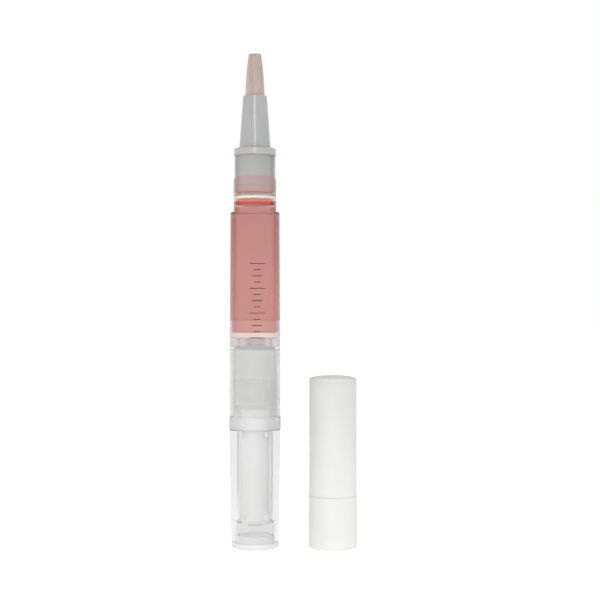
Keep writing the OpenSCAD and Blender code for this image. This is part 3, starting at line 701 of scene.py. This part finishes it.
def floor_material():
    """A white floor that keeps the pen's shadow, and further out is grey in mirrors and clear plastic."""
    material = bpy.data.materials.new("white floor")
    material.use_nodes = True
    tree = material.node_tree
    tree.nodes.clear()
    output = tree.nodes.new("ShaderNodeOutputMaterial")
    place = tree.nodes.new("ShaderNodeTexCoord").outputs["Object"]
    distance = vector_math(tree, "LENGTH", place).outputs["Value"]
    wings = mixed(tree, ranged(tree, distance, 0.05, 0.12), 0.95, side_level(tree, place, LOW_SIDES))
    glow = tree.nodes.new("ShaderNodeEmission")
    glow.inputs["Strength"].default_value = 0.80
    tree.links.new(white_to_camera(tree, wings), glow.inputs["Color"])
    seen = tree.nodes.new("ShaderNodeAddShader")
    tree.links.new(diffuse(tree, 0.32).outputs[0], seen.inputs[0])
    tree.links.new(glow.outputs[0], seen.inputs[1])
    tree.links.new(light_path_mix(tree, diffuse(tree, 0.8), seen), output.inputs["Surface"])
    return material


FLOOR_X, FLOOR_Y = 0.5, 3.0   # half its width and half its depth, in metres
FLOOR_Z = -2e-5               # just under the base, so that the two faces don't coincide
floor_mesh = bpy.data.meshes.new("floor")
floor_mesh.from_pydata([(-FLOOR_X, -FLOOR_Y, FLOOR_Z), (FLOOR_X, -FLOOR_Y, FLOOR_Z),
                        (FLOOR_X, FLOOR_Y, FLOOR_Z), (-FLOOR_X, FLOOR_Y, FLOOR_Z)], [], [(0, 1, 2, 3)])
floor_mesh.materials.append(floor_material())
floor = linked("floor", floor_mesh)


def background(tree, strength):
    node = tree.nodes.new("ShaderNodeBackground")
    node.inputs["Color"].default_value = (1, 1, 1, 1)
    node.inputs["Strength"].default_value = strength
    return node


def studio():
    """A plain light room. Its grey sides, darker above the table, show in mirrors and clear plastic."""
    world = bpy.data.worlds.new("studio")
    world.use_nodes = True
    tree = world.node_tree
    tree.nodes.clear()
    output = tree.nodes.new("ShaderNodeOutputWorld")
    place = tree.nodes.new("ShaderNodeTexCoord").outputs["Generated"]
    rise = axes(tree, place)["Z"]
    sides = mixed(tree, ranged(tree, rise, -0.02, 0.10), side_level(tree, place, LOW_SIDES),
                  side_level(tree, place, HIGH_SIDES))
    walls = mixed(tree, ranged(tree, rise, 0.11, 0.2), sides, 1.0)
    seen = background(tree, 1.0)
    tree.links.new(white_to_camera(tree, walls), seen.inputs["Color"])
    tree.links.new(light_path_mix(tree, background(tree, 0.76), seen), output.inputs["Surface"])
    return world


SCENE.world = studio()


# ---------------------------------------------------------------- lamps and camera

def area_light(name, place, aim, size, power, mirrored=False):
    """A softbox in metres and watts, which shows in mirrors only where mirrored says so."""
    data = bpy.data.lights.new(name, "AREA")
    data.shape = "RECTANGLE"
    data.size, data.size_y = size
    data.energy = power
    obj = linked(name, data)
    obj.location = place
    obj.rotation_euler = (Vector(aim) - Vector(place)).to_track_quat("-Z", "Y").to_euler()
    obj.visible_camera = False
    obj.visible_transmission = False
    obj.visible_glossy = mirrored


# The side lamps stand wide enough that neither the pen nor the cap shades the other.
area_light("front softbox", (0.0, -0.40, 0.26), (0.0, 0, 0.09), (0.03, 0.17), 0.19, mirrored=True)
area_light("low softbox", (0.008, -0.20, 0.04), (0.008, 0, 0.02), (0.26, 0.075), 0.07)
area_light("left low softbox", (-0.157, -0.10, 0.03), (0.005, 0, 0.015), (0.06, 0.08), 0.108)
area_light("right low softbox", (0.173, -0.10, 0.03), (0.01, 0, 0.015), (0.06, 0.08), 0.10)
area_light("top softbox", (0.0, 0.02, 0.5), (0.005, 0, 0.0), (0.4, 0.4), 0.15)

camera_data = bpy.data.cameras.new("camera")
camera_data.sensor_width = 36
camera_data.lens = 81
camera_data.shift_y = 0.025
camera_data.clip_start = 0.01
camera = linked("camera", camera_data)
camera.location = (0.0096, -0.288, 0.0494)
camera.rotation_euler = (math.radians(90), 0, 0)
SCENE.camera = camera

SCENE.view_settings.view_transform = "Standard"
